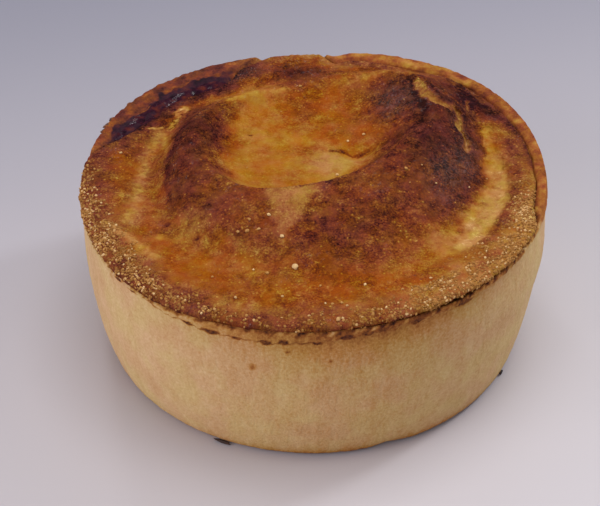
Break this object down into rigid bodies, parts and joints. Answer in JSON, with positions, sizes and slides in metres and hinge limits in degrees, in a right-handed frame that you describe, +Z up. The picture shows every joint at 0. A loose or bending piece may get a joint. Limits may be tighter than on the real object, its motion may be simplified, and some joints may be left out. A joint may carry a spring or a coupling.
{
  "type": "scotch pie",
  "caption": "Round baked savoury pie with a straight raised pastry wall and a domed, browned lid sunken in the middle.",
  "frame": {"origin": "middle of the flat base, under the centre of the pie's box", "axes": "+Z up; -Y towards the side where the lid's edge lies over the wall, with the sunken middle behind the ridge; +X to the right of that side"},
  "size_m": [0.0904, 0.0884, 0.043],
  "materials": {
    "pastry_case": "matt, finely pitted pale baked dough",
    "pastry_lid": "satin egg-glazed crust, golden to dark brown",
    "gravy_seep": "glossy baked-on gravy"
  },
  "bodies": {
    "root": {"pastry_case": "pastry_case", "pastry_lid": "pastry_lid", "gravy_seep": "gravy_seep"}
  },
  "joints": []
}
